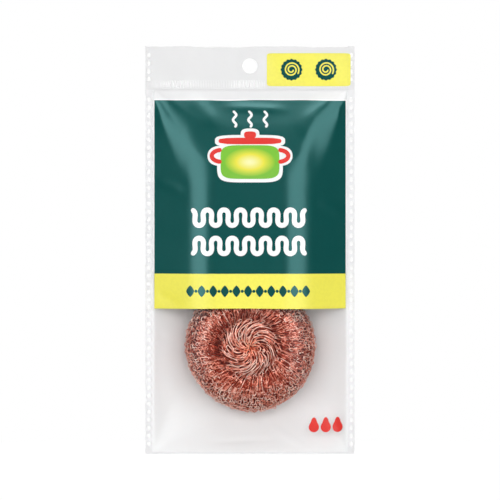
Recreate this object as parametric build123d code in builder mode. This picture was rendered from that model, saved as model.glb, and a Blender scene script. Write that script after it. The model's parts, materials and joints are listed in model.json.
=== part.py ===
"""Two knitted copper-coated wire pot scrubbers in their hanging film pack.

Millimetres. X runs across the pack, Y from front to back, Z up. The origin is the
centre of the hang hole, in the middle of the header's thickness. The pack hangs by
that hole, and its printed front faces -Y.
"""

import math
import os

from build123d import *

os.makedirs("parts", exist_ok=True)

# Scrubber: a knitted wire tube turned over itself into a bun, gathered on both faces
scrubber_diameter = 68.6
scrubber_thickness = 32.0
crown_diameter = 40.0
wale_count = 48
wale_height = 0.7
sleeve_wall = 2.6
roll_turns = 4
roll_groove = 0.9

# Gather in the middle of each face
gather_diameter = 28.0
gather_lip = 1.6
gather_sink = 3.0
gather_rise = 1.4
pleat_count = 22
pleat_height = 1.5
pleat_twist = 70.0

# Film pouch round the two scrubbers
film = 0.2
side_slack = 16.3
top_slack = 31.0
bottom_slack = 20.4
closed_depth = 0.1
weld_width = 3.6
fold_height = 1.0

# Row of slots pressed through each side weld
slot_pitch = 4.18
slot_height = 2.4
slot_width = 1.5
slot_end_margin = 2.1

# Header, its hang hole and its crimped seal
header_rise = 10.2
hang_hole_radius = 4.0
seal_drop = 7.6
seal_height = 4.0
rib_pitch = 1.33
rib_height = 0.15

# Printed layers
print_thickness = 0.1
print_side_margin = 0.7
green_drop = 5.6
green_height = 90.3
yellow_height = 18.1
badge_width = 43.7
badge_height = 17.2
badge_corner = 1.0
badge_overhang = 1.5
badge_drop = 10.6

# Clearances
film_clearance = 0.4
scrubber_clearance = 0.3
layer_clearance = 0.3
print_clearance = 0.1
crease_gap = 0.9

# Scrubber sizes that follow
scrubber_radius = scrubber_diameter / 2
half_thickness = scrubber_thickness / 2
crown_radius = crown_diameter / 2
tube_radius = scrubber_radius - crown_radius
gather_radius = gather_diameter / 2

# Heights, all from the hang hole downwards
seal_bottom = -(seal_drop + seal_height)
crease_height = seal_bottom - crease_gap / 2
pouch_top = seal_bottom - crease_gap
upper_centre = pouch_top - top_slack - scrubber_radius
lower_centre = upper_centre - scrubber_diameter - scrubber_clearance
pouch_bottom = lower_centre - scrubber_radius - bottom_slack
pack_bottom = pouch_bottom - fold_height
pouch_height = pouch_top - pouch_bottom
header_height = header_rise + seal_drop

# Widths
pouch_half_width = scrubber_radius + side_slack
film_half_width = pouch_half_width + 2 * film
film_width = 2 * film_half_width


def save(piece, name):
    """Label a finished piece and write it."""
    piece.part.label = name
    export_step(piece.part, f"parts/{name}.step")


# Shape of the taut film. Across the pouch it runs straight from the weld to the scrubber's
# shoulder, rounds over that and lies flat across the crown. At the pouch's closed ends the
# same outline is pressed nearly flat, with its shoulder out near the weld.
closed_shoulder_share = 0.93
closed_crown_share = 0.8
bow_share = 0.028
full_reach_share = 0.42

shoulder_run = tube_radius + film_clearance
shoulder_depth = half_thickness + film_clearance
touch_share = shoulder_run / (pouch_half_width - crown_radius)
touch_depth = shoulder_depth * math.sqrt(1 - touch_share**2)
full_section = (
    (crown_radius + shoulder_run * touch_share, touch_depth),
    (crown_radius, shoulder_depth),
)
closed_section = (
    (pouch_half_width * closed_shoulder_share, closed_depth),
    (pouch_half_width * closed_crown_share, closed_depth),
)
full_reach = crown_radius + tube_radius * full_reach_share
pouch_levels = (
    (pouch_top, closed_section),
    (upper_centre + full_reach, full_section),
    (lower_centre - full_reach, full_section),
    (pouch_bottom, closed_section),
)


def front_bulge(growth):
    """Solid front half of the space in the pouch, grown outwards by growth."""
    edge = pouch_half_width + 2 * growth
    with BuildPart() as bulge:
        for height, (shoulder, crown) in pouch_levels:
            side = (shoulder[0] + growth / 2, shoulder[1] + growth)
            top = (crown[0], crown[1] + growth)
            bow = (side[1] + top[1]) / 2 + crown[1] * bow_share
            middle = ((side[0] + top[0]) / 2, bow)
            with BuildSketch(Plane.XY.offset(height)):
                with BuildLine():
                    Line((-edge, 0), (-side[0], -side[1]))
                    ThreePointArc((-side[0], -side[1]), (-middle[0], -middle[1]), (-top[0], -top[1]))
                    Line((-top[0], -top[1]), (top[0], -top[1]))
                    ThreePointArc((top[0], -top[1]), (middle[0], -middle[1]), (side[0], -side[1]))
                    Line((side[0], -side[1]), (edge, 0))
                    Line((edge, 0), (-edge, 0))
                make_face()
        loft(ruled=True)
    return bulge.part


# Pouch front: the clear wall from the crease down to the bottom fold
with BuildPart() as pouch_front_film:
    with BuildSketch(Plane.XY.offset(pouch_bottom)):
        Rectangle(film_width, film, align=(Align.CENTER, Align.MAX))
    extrude(amount=pouch_height)
    add(front_bulge(film))
    add(front_bulge(0), mode=Mode.SUBTRACT)
save(pouch_front_film, "pouch_front_film")

# Pouch back: the white wall behind, the same shape facing the other way
with BuildPart() as pouch_back_film:
    add(pouch_front_film.part)
    mirror(about=Plane.XZ, mode=Mode.REPLACE)
save(pouch_back_film, "pouch_back_film")

# Bottom fold: where the web turns from the front wall to the back wall
with BuildPart() as bottom_fold:
    with BuildSketch(Plane.YZ.offset(-film_half_width)):
        with BuildLine():
            Polyline(
                (-film, pack_bottom + film),
                (-film, pouch_bottom),
                (film, pouch_bottom),
                (film, pack_bottom + film),
            )
            ThreePointArc((film, pack_bottom + film), (0, pack_bottom), (-film, pack_bottom + film))
        make_face()
    extrude(amount=film_width)
save(bottom_fold, "bottom_fold")


def weld_strip(side, low, high):
    """Weld along one side, -1 left or 1 right, between two heights, with its slots."""
    slots = 1 + int((high - low - 2 * slot_end_margin - slot_height) / slot_pitch)
    centre = (side * (film_half_width + weld_width / 2), (low + high) / 2)
    with BuildPart() as strip:
        with BuildSketch(Plane.XZ.offset(-film)):
            with Locations(centre):
                Rectangle(weld_width, high - low)
                with GridLocations(0, slot_pitch, 1, slots):
                    SlotOverall(slot_height, slot_width, rotation=90, mode=Mode.SUBTRACT)
        extrude(amount=2 * film)
    return strip


for side_name, side in (("left", -1), ("right", 1)):
    save(weld_strip(side, pack_bottom, pouch_top), f"{side_name}_pouch_weld")
    save(weld_strip(side, seal_bottom, header_rise), f"{side_name}_header_weld")


def header_film(back_face):
    """Film above the crimped seal with the hang hole in it, its back face at a depth."""
    with BuildPart() as sheet:
        with BuildSketch(Plane.XZ.offset(-back_face)):
            with Locations((0, (header_rise - seal_drop) / 2)):
                Rectangle(film_width, header_height)
            Circle(hang_hole_radius, mode=Mode.SUBTRACT)
        extrude(amount=film)
    return sheet


save(header_film(0), "header_front_film")
save(header_film(film), "header_back_film")

# Crimped seal: both films fused, with upright ribs pressed into the front
rib_count = int(film_width / rib_pitch)
rib_shares = ((0.2, 0), (0.4, 1), (0.6, 1), (0.8, 0))
first_rib = -rib_count * rib_pitch / 2
seal_outline = [(-film_half_width, film), (-film_half_width, -film)]
for rib in range(rib_count):
    for run_share, rise_share in rib_shares:
        along = first_rib + (rib + run_share) * rib_pitch
        seal_outline.append((along, -film - rise_share * rib_height))
seal_outline += [(film_half_width, -film), (film_half_width, film)]
with BuildPart() as crimp_seal:
    with BuildSketch(Plane.XY.offset(seal_bottom)):
        with BuildLine():
            Polyline(*seal_outline, close=True)
        make_face()
    extrude(amount=seal_height)
save(crimp_seal, "crimp_seal")

# Badge: a printed patch over the right of the header and its seal
badge_centre = (
    film_half_width + badge_overhang - badge_width / 2,
    badge_height / 2 - badge_drop,
)
with BuildPart() as header_badge:
    with BuildSketch(Plane.XZ.offset(film + rib_height + print_clearance)):
        with Locations(badge_centre):
            RectangleRounded(badge_width, badge_height, badge_corner)
    extrude(amount=print_thickness)
save(header_badge, "header_badge")


def printed_layer(top, height):
    """Printed layer that follows the front wall between two heights."""
    inner_face = film + print_clearance
    outer_face = inner_face + print_thickness
    width = 2 * (pouch_half_width - print_side_margin)
    depth = 2 * (shoulder_depth + outer_face)
    with BuildPart() as layer:
        add(front_bulge(outer_face))
        add(front_bulge(inner_face), mode=Mode.SUBTRACT)
        with BuildSketch(Plane.XY.offset(top - height)):
            Rectangle(width, depth)
        extrude(amount=height, mode=Mode.INTERSECT)
    return layer


green_top = pouch_top - green_drop
save(printed_layer(green_top, green_height), "green_panel")
save(printed_layer(green_top - green_height, yellow_height), "yellow_band")


# Scrubber layers, from the rim inwards. Each follows the one outside it.
wale_level_shares = (-0.985, -0.9, -0.7, -0.38, 0, 0.38, 0.7, 0.9, 0.985)
cavity_radius = tube_radius - wale_height - sleeve_wall
cavity_depth = half_thickness - wale_height - sleeve_wall
roll_inner_radius = gather_radius + layer_clearance
roll_lap_shares = [(lap / roll_turns) * 2 - 1 for lap in range(1, roll_turns)]


def face_plane(depth, centre):
    """Plane square to a scrubber's axis, at a depth towards the front of its centre."""
    return Plane(origin=(0, -depth, centre), x_dir=(1, 0, 0), z_dir=(0, -1, 0))


def around(radius, angle):
    return radius * math.cos(math.radians(angle)), radius * math.sin(math.radians(angle))


def outer_knit(centre):
    """Outer layer: an elliptical ring ribbed by its wales, hollow where the roll lies."""
    step = 360 / wale_count
    axis = Axis((0, 0, centre), (0, 1, 0))
    with BuildPart() as knit:
        for share in wale_level_shares:
            crest = crown_radius + tube_radius * math.sqrt(1 - share**2)
            valley = crest - wale_height
            with BuildSketch(face_plane(share * half_thickness, centre)):
                with BuildLine():
                    for wale in range(wale_count):
                        ThreePointArc(
                            around(valley, wale * step),
                            around(crest, (wale + 0.5) * step),
                            around(valley, (wale + 1) * step),
                        )
                make_face()
        loft(ruled=True)
        with BuildSketch(face_plane(-half_thickness, centre)):
            Circle(gather_radius)
        extrude(amount=scrubber_thickness, mode=Mode.SUBTRACT)
        mouths = knit.edges().filter_by(GeomType.CIRCLE).sort_by(SortBy.RADIUS)[-2:]
        chamfer(mouths, gather_lip)
        with BuildSketch(Plane.XY.offset(centre)):
            with Locations((crown_radius, 0)):
                Ellipse(cavity_radius, cavity_depth)
        revolve(axis=axis, mode=Mode.SUBTRACT)
    return knit


def inner_roll(centre):
    """Rolled-in length of the tube: a ring with a groove on each face between its turns."""
    axis = Axis((0, 0, centre), (0, 1, 0))
    across = cavity_radius - layer_clearance
    deep = cavity_depth - layer_clearance
    with BuildPart() as roll:
        with BuildSketch(Plane.XY.offset(centre)):
            with Locations((crown_radius, 0)):
                Ellipse(across, deep)
            for share in roll_lap_shares:
                reach = deep * math.sqrt(1 - share**2)
                lap_places = [(crown_radius + across * share, face * reach) for face in (-1, 1)]
                with Locations(lap_places):
                    Circle(roll_groove, mode=Mode.SUBTRACT)
            with Locations((roll_inner_radius, 0)):
                Rectangle(
                    scrubber_radius,
                    scrubber_thickness,
                    align=(Align.MIN, Align.CENTER),
                    mode=Mode.INTERSECT,
                )
        revolve(axis=axis)
    return roll


# Gather: radius and depth shares of each ring of pleats, and how far its twist has gone
gather_ring_shares = (
    (1.0, 0.0, 0.0),
    (0.82, 0.72, 0.22),
    (0.52, 1.0, 0.55),
    (0.22, 0.88, 1.0),
)
gather_reach = gather_radius - layer_clearance
gather_edge = half_thickness - gather_sink - gather_rise


def gather(centre, face):
    """Knit drawn in to the middle of a face, 1 front or -1 back: a dome of twisted pleats."""
    step = 360 / pleat_count
    rings = [(gather_reach, layer_clearance / 2, 0)]
    for radius_share, rise_share, twist_share in gather_ring_shares:
        depth = gather_edge + gather_rise * rise_share
        rings.append((gather_reach * radius_share, depth, pleat_twist * twist_share))
    with BuildPart() as dome:
        for crest, depth, twist in rings:
            valley = crest - pleat_height * crest / gather_reach
            corners = []
            for pleat in range(pleat_count):
                corners.append(around(crest, pleat * step + twist))
                corners.append(around(valley, (pleat + 0.5) * step + twist))
            with BuildSketch(face_plane(face * depth, centre)):
                with BuildLine():
                    Polyline(*corners, close=True)
                make_face()
        loft(ruled=True)
    return dome


for place, centre in (("lower", lower_centre), ("upper", upper_centre)):
    save(outer_knit(centre), f"{place}_outer_knit")
    save(inner_roll(centre), f"{place}_inner_roll")
    save(gather(centre, 1), f"{place}_front_gather")
    save(gather(centre, -1), f"{place}_back_gather")
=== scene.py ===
"""Looks of a hanging film pack with two knitted copper-coated wire pot scrubbers.

Lengths in the geometry functions are millimetres in the pack's own frame: X to the right, Y to
the back and Z up, from the hang hole's centre. Meshes are written in metres.
"""

import json
import math

import bpy
import numpy as np
from bpy.props import FloatProperty, FloatVectorProperty, IntProperty
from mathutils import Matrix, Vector


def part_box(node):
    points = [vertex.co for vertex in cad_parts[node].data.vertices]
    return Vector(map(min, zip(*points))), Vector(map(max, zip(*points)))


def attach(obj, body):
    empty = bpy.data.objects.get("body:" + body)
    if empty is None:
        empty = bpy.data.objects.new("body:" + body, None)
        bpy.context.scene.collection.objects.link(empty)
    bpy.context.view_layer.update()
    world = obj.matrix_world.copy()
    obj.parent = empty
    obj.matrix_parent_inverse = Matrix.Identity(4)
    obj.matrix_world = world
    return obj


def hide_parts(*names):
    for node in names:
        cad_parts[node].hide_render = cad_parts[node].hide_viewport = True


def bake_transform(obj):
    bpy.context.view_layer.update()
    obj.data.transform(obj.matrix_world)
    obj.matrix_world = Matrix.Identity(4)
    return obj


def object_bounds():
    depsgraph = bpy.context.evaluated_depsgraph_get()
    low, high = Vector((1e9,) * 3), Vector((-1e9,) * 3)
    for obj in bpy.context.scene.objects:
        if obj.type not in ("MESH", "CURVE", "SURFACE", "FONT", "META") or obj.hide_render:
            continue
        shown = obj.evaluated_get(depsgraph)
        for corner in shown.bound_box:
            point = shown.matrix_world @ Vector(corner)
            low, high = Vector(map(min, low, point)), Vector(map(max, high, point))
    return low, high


bl_info = {
    "name": "Pot Scrubber Pack",
    "version": (1, 0, 0),
    "blender": (4, 5, 0),
    "location": "View3D > Sidebar > Scrubbers",
    "description": "Knitted wire pot scrubbers, their film pack and a studio for them",
    "category": "Object",
}

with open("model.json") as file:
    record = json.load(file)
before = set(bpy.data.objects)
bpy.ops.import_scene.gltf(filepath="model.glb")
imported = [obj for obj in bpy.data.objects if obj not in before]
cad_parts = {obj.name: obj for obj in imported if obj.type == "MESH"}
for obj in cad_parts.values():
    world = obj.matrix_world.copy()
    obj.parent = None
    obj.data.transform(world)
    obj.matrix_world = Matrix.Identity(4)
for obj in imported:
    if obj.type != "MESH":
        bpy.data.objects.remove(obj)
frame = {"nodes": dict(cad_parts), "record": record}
CAD_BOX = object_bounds()
MM = 0.001


def cad_box(node):
    """Lowest and highest corner of a construction node, in millimetres."""
    low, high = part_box(node)
    return np.array(low) / MM, np.array(high) / MM


# Places that the construction gives
FILM_LOW, FILM_HIGH = cad_box("pouch_front_film")
GREEN_LOW, GREEN_HIGH = cad_box("green_panel")
YELLOW_LOW, YELLOW_HIGH = cad_box("yellow_band")
HEADER_LOW, HEADER_HIGH = cad_box("header_front_film")
SEAL_LOW, SEAL_HIGH = cad_box("crimp_seal")
BADGE_LOW, BADGE_HIGH = cad_box("header_badge")
WELD_LOW, WELD_HIGH = cad_box("right_pouch_weld")
FILM_THICKNESS = HEADER_HIGH[1] - HEADER_LOW[1]
HALF_WIDTH = FILM_HIGH[0]
POUCH_TOP = FILM_HIGH[2]
POUCH_BOTTOM = FILM_LOW[2]
DEEPEST = -FILM_LOW[1]
HOLE_RADIUS = frame["record"]["mounts"][0]["dims"]["r_mm"]
PACK_MIDDLE = (CAD_BOX[0][2] + CAD_BOX[1][2]) / 2


# Sizes and colours that a user would change

COLOR = {"size": 3, "subtype": "COLOR", "min": 0, "max": 1}

class ScrubberSettings(bpy.types.PropertyGroup):
    """Wire and stitches of the knitted scrubbers."""

    wire_width: FloatProperty(
        name="Wire width", description="Width of the flattened wire",
        default=0.50 * MM, min=0.1 * MM, unit="LENGTH",
    )
    wire_height: FloatProperty(
        name="Wire height", description="Thickness of the flattened wire at its middle",
        default=0.24 * MM, min=0.05 * MM, unit="LENGTH",
    )
    rim_stitches: IntProperty(
        name="Rim stitches", description="Stitches in one course round the rim", default=60, min=12,
    )
    crown_stitches: IntProperty(
        name="Crown stitches", description="Drawn-out stitches round the crown", default=46, min=12,
    )
    swirl: FloatProperty(
        name="Swirl", description="How far the gather turns from its centre to its edge",
        default=math.radians(72), subtype="ANGLE",
    )
    # Painted highlight: the copper made paler for the top wires, where they catch the light
    bright_color: FloatVectorProperty(
        name="Bright wire", description="Copper coating where it shines",
        default=(0.92, 0.65, 0.555), **COLOR,
    )
    wire_color: FloatVectorProperty(
        name="Wire", description="Copper coating", default=(0.82, 0.285, 0.195), **COLOR,
    )
    # Painted shade: the copper darkened for wires that lie deeper, where shade falls
    deep_wire_shade_color: FloatVectorProperty(
        name="Dull wire", description="Coating of the wires that lie deeper",
        default=(0.33, 0.038, 0.018), **COLOR,
    )
    heart_color: FloatVectorProperty(
        name="Heart", description="Tint of the wire in the middle of a gather",
        default=(1.0, 0.60, 0.42), **COLOR,
    )
    # Painted shade: the dark colour of the knit's core and the deepest wires stands in for the
    # shade inside the scrubber
    shade_color: FloatVectorProperty(
        name="Inner knit", description="Knit deep inside the scrubber",
        default=(0.27, 0.027, 0.012), **COLOR,
    )


class FilmSettings(bpy.types.PropertyGroup):
    """The clear and white films of the pack."""

    shoulder_round: FloatProperty(
        name="Shoulder rounding", description="Width over which the film turns down to its sides",
        default=17.0 * MM, min=0.2 * MM, unit="LENGTH",
    )
    fold_height: FloatProperty(
        name="Fold height", description="Height of the folds that run to the pack's corners",
        default=0.9 * MM, min=0, unit="LENGTH",
    )
    gloss: FloatProperty(
        name="Clear film haze", description="Share of light that the clear film sends back",
        default=0.008, min=0, max=1, subtype="FACTOR",
    )
    white_color: FloatVectorProperty(
        name="White film", description="Header and back of the pack",
        default=(0.74, 0.74, 0.745), **COLOR,
    )
    # Painted light: the same white film as the header, made paler inside the pouch to offset the
    # shade behind the clear front
    lit_backing_color: FloatVectorProperty(
        name="Backing", description="White inside of the pouch's back",
        default=(0.855, 0.867, 0.874), **COLOR,
    )
    weld_color: FloatVectorProperty(
        name="Weld", description="Heat-sealed edges", default=(0.775, 0.775, 0.785), **COLOR,
    )


class PrintSettings(bpy.types.PropertyGroup):
    """Inks of the printed front."""

    green: FloatVectorProperty(
        name="Green", description="Large panel", default=(0.001, 0.066, 0.060), **COLOR,
    )
    yellow: FloatVectorProperty(
        name="Yellow", description="Band and badge", default=(0.87, 0.81, 0.062), **COLOR,
    )
    white: FloatVectorProperty(
        name="White", description="Stitches, border and halo", default=(0.95, 0.95, 0.95), **COLOR,
    )
    lime: FloatVectorProperty(
        name="Lime", description="Body of the pot", default=(0.20, 0.56, 0.03), **COLOR,
    )
    red: FloatVectorProperty(
        name="Red", description="Lid and drops", default=(0.80, 0.03, 0.02), **COLOR,
    )


class StudioSettings(bpy.types.PropertyGroup):
    """Camera and light."""

    camera_distance: FloatProperty(
        name="Camera distance", description="From the pack to the camera", default=1.6, min=0.3,
        unit="LENGTH",
    )
    view_width: FloatProperty(
        name="View width", description="Width that the camera sees at the pack", default=261 * MM,
        min=0.05, unit="LENGTH",
    )
    floor_color: FloatVectorProperty(
        name="Floor", description="Plain pale floor", default=(0.90, 0.90, 0.90), **COLOR,
    )


# Meshes from whole arrays


def make_piece(name, points, faces, tone=None):
    """Smooth mesh object from points in millimetres and quads. Wires have a tone for each point,
    and films and inks have sharp borders."""
    mesh = bpy.data.meshes.new(name)
    mesh.vertices.add(len(points))
    mesh.vertices.foreach_set("co", (points * MM).astype(np.float32).ravel())
    mesh.loops.add(faces.size)
    mesh.loops.foreach_set("vertex_index", faces.astype(np.int32).ravel())
    mesh.polygons.add(len(faces))
    mesh.polygons.foreach_set("loop_start", np.arange(0, faces.size, 4, dtype=np.int32))
    mesh.polygons.foreach_set("use_smooth", np.ones(len(faces), bool))
    if tone is not None:
        layer = mesh.attributes.new("tone", "FLOAT", "POINT")
        layer.data.foreach_set("value", tone.astype(np.float32))
    mesh.update(calc_edges=True)
    if tone is None:
        mesh.set_sharp_from_angle(angle=math.radians(50))
    piece = bpy.data.objects.new(name, mesh)
    bpy.context.scene.collection.objects.link(piece)
    return piece


def quad_grid(rows, columns, first=0, close_rows=False, close_columns=False):
    """Corner numbers of a grid of points counted row by row. Columns run along the first side
    of each quad and rows along the second; a closed direction joins its end to its start."""
    number = first + np.arange(rows * columns).reshape(rows, columns)
    if close_rows:
        number = np.vstack([number, number[:1]])
    if close_columns:
        number = np.hstack([number, number[:, :1]])
    corners = (number[:-1, :-1], number[:-1, 1:], number[1:, 1:], number[1:, :-1])
    return np.stack(corners, axis=-1).reshape(-1, 4)


def disc_cap(first, turns):
    """Quads across a ring of an even number of points, from its first point to its middle."""
    low = np.arange(turns // 2 - 1)
    return np.stack([low, low + 1, turns - 2 - low, turns - 1 - low], axis=-1) + first


def capped_rings(rings):
    """Closed form from rings of points: walls between them and a disc across each end ring."""
    count, turns = rings.shape[:2]
    walls = quad_grid(count, turns, close_columns=True)
    ends = [disc_cap(0, turns)[:, ::-1], disc_cap((count - 1) * turns, turns)]
    return rings.reshape(-1, 3), np.concatenate([walls, *ends])


def shell(front, back, wrap=False):
    """Closed thin wall between two grids of points, the first facing along columns x rows.
    The edges are closed by quads between the two grids' borders; a wrapped grid is a ring."""
    rows, columns = front.shape[:2]
    count = rows * columns
    points = np.concatenate([front.reshape(-1, 3), back.reshape(-1, 3)])
    faces = quad_grid(rows, columns, 0, close_columns=wrap)
    groups = [faces, faces[:, ::-1] + count]
    number = np.arange(count).reshape(rows, columns)
    if wrap:
        loops = [np.append(number[0], number[0, 0]), np.append(number[-1], number[-1, 0])[::-1]]
    else:
        around = [number[0], number[1:, -1], number[-1, -2::-1], number[-2::-1, 0]]
        loops = [np.concatenate(around)]
    for loop in loops:
        ahead, behind = loop[1:], loop[:-1]
        groups.append(np.stack([behind, behind + count, ahead + count, ahead], axis=-1))
    return points, np.concatenate(groups)


def join(parts):
    """One set of points, quads and tones from several."""
    firsts = np.cumsum([0] + [len(part[0]) for part in parts[:-1]])
    points = np.concatenate([part[0] for part in parts])
    faces = np.concatenate([part[1] + first for part, first in zip(parts, firsts)])
    tones = [part[2] for part in parts if len(part) > 2]
    return (points, faces, np.concatenate(tones)) if tones else (points, faces)


def smooth_step(t):
    """Rises from 0 to 1 with level ends: three t squared less two t cubed."""
    t = np.clip(t, 0, 1)
    return t * t * (3 - 2 * t)


def soft_min(a, b, width):
    """Smaller of two values, rounded over a width where they cross."""
    share = np.clip(0.5 + 0.5 * (b - a) / width, 0, 1)
    return b * (1 - share) + a * share - width * share * (1 - share)


# Film: how far the front wall stands out at each place of the pack

LEVEL_HALF = 16.0
TOP_SLOPE = 0.43
BOTTOM_SLOPE = 0.56
LEAST_ROUND = 0.5
END_ROUND = 6.0
CORNER_ROUND = 6.0
FLAT_EDGE = 0.4
FOLD_MARGIN = 5.0
CLOSED_EDGE = 0.12

# Folds of the film: from x, z to x, z, half width, height share of the fold height
FRONT_FOLDS = (
    (-51, -16, -28, -50, 6.0, 0.35),
    (-34, -14, -14, -34, 4.0, 0.5),
    (51, -17, 25, -38, 7.0, 1.2),
    (31, -28, 25, -62, 4.6, 0.6),
    (-16, -21.5, 24, -23.0, 2.2, 0.36),
    (-50, -60, -33, -66, 2.6, 0.3),
    (50, -78, 34, -70, 3.0, 0.4),
    (-50, -118, -34, -126, 2.8, -0.4),
    (50, -128, 35, -134, 2.6, 0.4),
    (-50, -201, -25, -174, 3.0, 1.2),
    (-38, -201, -18, -182, 2.4, -0.6),
    (50, -201, 26, -175, 3.4, 1.2),
    (36, -201, 14, -185, 2.8, -0.5),
    (-20, -196, 22, -194.5, 1.6, 0.4),
    (-30, -199, 30, -198.5, 1.0, 0.3),
)
BACK_FOLDS = (
    (-49, -15, -26, -42, 2.8, 0.8),
    (48, -16, 27, -46, 2.4, 0.8),
    (34, -16, 14, -34, 2.6, -0.4),
    (-50, -92, -32, -86, 2.2, 0.35),
    (50, -104, 33, -112, 2.4, 0.35),
    (-50, -140, -33, -148, 2.0, 0.3),
    (-49, -199, -24, -178, 2.6, 0.8),
    (49, -200, 28, -174, 2.4, 0.7),
    (30, -200, 10, -188, 2.2, -0.4),
    (-24, -197, 16, -195, 1.6, 0.35),
)


def folds(x, z, lines):
    """Sum of soft ridges. Each is a bell across its line, and rises and falls along it."""
    total = np.zeros_like(x)
    for x0, z0, x1, z1, width, height in lines:
        run = np.array([x1 - x0, z1 - z0])
        length = np.hypot(*run)
        along = ((x - x0) * run[0] + (z - z0) * run[1]) / length
        across = ((z - z0) * run[0] - (x - x0) * run[1]) / length
        ends = smooth_step(along / (0.3 * length)) * smooth_step((length - along) / (0.4 * length))
        total += height * np.exp(-((across / width) ** 2)) * ends
    return total


def side_stand(x):
    """Depth across the pack: level over the scrubbers, then a parabola round the shoulder, then
    straight down to the weld."""
    turn = bpy.context.scene.scrubber_film.shoulder_round / MM
    slope = DEEPEST / (HALF_WIDTH - FLAT_EDGE - LEVEL_HALF - turn / 2)
    over = np.maximum(np.abs(x) - LEVEL_HALF, 0)
    return DEEPEST - slope * np.where(over < turn, over**2 / (2 * turn), over - turn / 2)


def film_stand(x, z, lines=FRONT_FOLDS):
    """Depth of the film's outer face from the pack's middle: the lowest of the side profile and
    two slopes from the crease and the bottom, rounded where they meet, most of all half-way up
    the corners, with the folds added."""
    height = bpy.context.scene.scrubber_film.fold_height / MM
    top = (POUCH_TOP - z) * TOP_SLOPE
    bottom = (z - POUCH_BOTTOM) * BOTTOM_SLOPE
    side, ends = side_stand(x), soft_min(top, bottom, END_ROUND)
    share = np.clip(np.minimum(side, ends) / DEEPEST, 0, 1)
    width = LEAST_ROUND + (END_ROUND - LEAST_ROUND) * share + 4 * CORNER_ROUND * share * (1 - share)
    stand = soft_min(side, ends, width)
    edge = np.minimum.reduce([HALF_WIDTH - np.abs(x), POUCH_TOP - z, z - POUCH_BOTTOM])
    stand = stand + folds(x, z, lines) * height * smooth_step(edge / FOLD_MARGIN)
    return np.clip(stand, CLOSED_EDGE, DEEPEST)


def on_film(x, z, lift):
    """Points in front of the film at places of the pack, lifted off its face."""
    return np.stack([x, -(film_stand(x, z) + lift), z], axis=-1)


def film_wall(name, lines, facing):
    """One wall of the pouch, -1 front or 1 back: the film's face and a second one inside it."""
    x, z = np.meshgrid(
        np.linspace(-HALF_WIDTH, HALF_WIDTH, 121), np.linspace(POUCH_BOTTOM, POUCH_TOP, 221)
    )
    stand = film_stand(x, z, lines)
    outer = np.stack([x, facing * stand, z], axis=-1)
    inner = np.stack([x, facing * (stand - CLOSED_EDGE), z], axis=-1)
    points, faces = shell(outer, inner)
    if facing > 0:
        faces = faces[:, ::-1]
    return make_piece(name, points, faces)


# Header: how soon its waves die out, and the ribs of its seal
WAVE_MARGIN = 9.0
CREASE_MARGIN = 8.0
RIB_PITCH = 1.33
RIB_HEIGHT = 0.22


def header_wave(x, z):
    """How the header's films lean from the middle plane: two slow waves that die out at the
    crease, the welds and the hang hole."""
    wave = 0.45 * np.sin(x / 13 + 0.6) + 0.3 * np.sin(x / 7.3 + z / 9)
    clear = smooth_step((np.hypot(x, z) - HOLE_RADIUS) / WAVE_MARGIN)
    sides = smooth_step((HALF_WIDTH - np.abs(x)) / WAVE_MARGIN)
    return wave * clear * sides * smooth_step((z - SEAL_LOW[2]) / CREASE_MARGIN)


def header_sheet(name, facing):
    """One header film: rings of points from the hang hole out to the film's outline, with a
    wall's thickness on the side that it faces. The top edge waves a little."""
    low, high = SEAL_HIGH[2], HEADER_HIGH[2]
    corner = np.arctan2([high, high, low, low], [HALF_WIDTH, -HALF_WIDTH, -HALF_WIDTH, HALF_WIDTH])
    turn = np.linspace(0, 2 * np.pi, 240, endpoint=False)
    turn = np.sort(np.concatenate([turn, corner % (2 * np.pi)]))
    spread = np.linspace(0, 1, 40) ** 1.2
    ray = np.stack([np.cos(turn), np.sin(turn)], axis=-1)
    steep = np.maximum(np.abs(ray), 1e-6)
    limit = np.where(ray[:, 1] > 0, high, -low)
    reach = np.minimum(HALF_WIDTH / steep[:, 0], limit / steep[:, 1])
    radius = HOLE_RADIUS + (reach - HOLE_RADIUS) * spread[:, None]
    x, z = radius * ray[:, 0], radius * ray[:, 1]
    edge = 0.22 * np.sin(x / 8.5) - 0.25 + 0.1 * np.sin(x / 3.1)
    z = z + edge * smooth_step(2 * z / high - 1)
    lean = header_wave(x, z)
    near = np.stack([x, lean, z], axis=-1)
    far = np.stack([x, lean + facing * FILM_THICKNESS, z], axis=-1)
    points, faces = shell(near, far, wrap=True)
    if facing > 0:
        faces = faces[:, ::-1]
    return make_piece(name, points, faces)


def crimped_seal():
    """The seal's fused films, with upright ribs on the front: a raised cosine of x. Their
    height has two bells along the seal, and fades at its upper and lower edges."""
    x, z = np.meshgrid(
        np.linspace(-HALF_WIDTH, HALF_WIDTH, 1080), np.linspace(SEAL_LOW[2], SEAL_HIGH[2], 15)
    )
    strength = 0.25 + np.exp(-(((x + 38) / 9) ** 2)) + np.exp(-(((x + 2) / 7) ** 2))
    edge = np.minimum(z - SEAL_LOW[2], SEAL_HIGH[2] - z)
    rise = 0.5 - 0.5 * np.cos(2 * np.pi * x / RIB_PITCH)
    rib = RIB_HEIGHT * rise * strength * smooth_step(edge / 0.6)
    lean = header_wave(x, z)
    front = np.stack([x, lean - FILM_THICKNESS - rib, z], axis=-1)
    back = np.stack([x, lean + FILM_THICKNESS, z], axis=-1)
    return make_piece("crimped_seal", *shell(front, back))


def crease_strip():
    """Film across the fold between header and pouch, a flat closed strip."""
    x, z = np.meshgrid(
        np.linspace(-WELD_HIGH[0], WELD_HIGH[0], 121), np.linspace(POUCH_TOP, SEAL_LOW[2], 9)
    )
    half = np.full_like(x, FILM_THICKNESS)
    front = np.stack([x, -half, z], axis=-1)
    back = np.stack([x, half, z], axis=-1)
    return make_piece("crease_strip", *shell(front, back))


# Print: thin layers of ink that follow the film

PRINT_LIFT = 0.14
INK = 0.06


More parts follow.
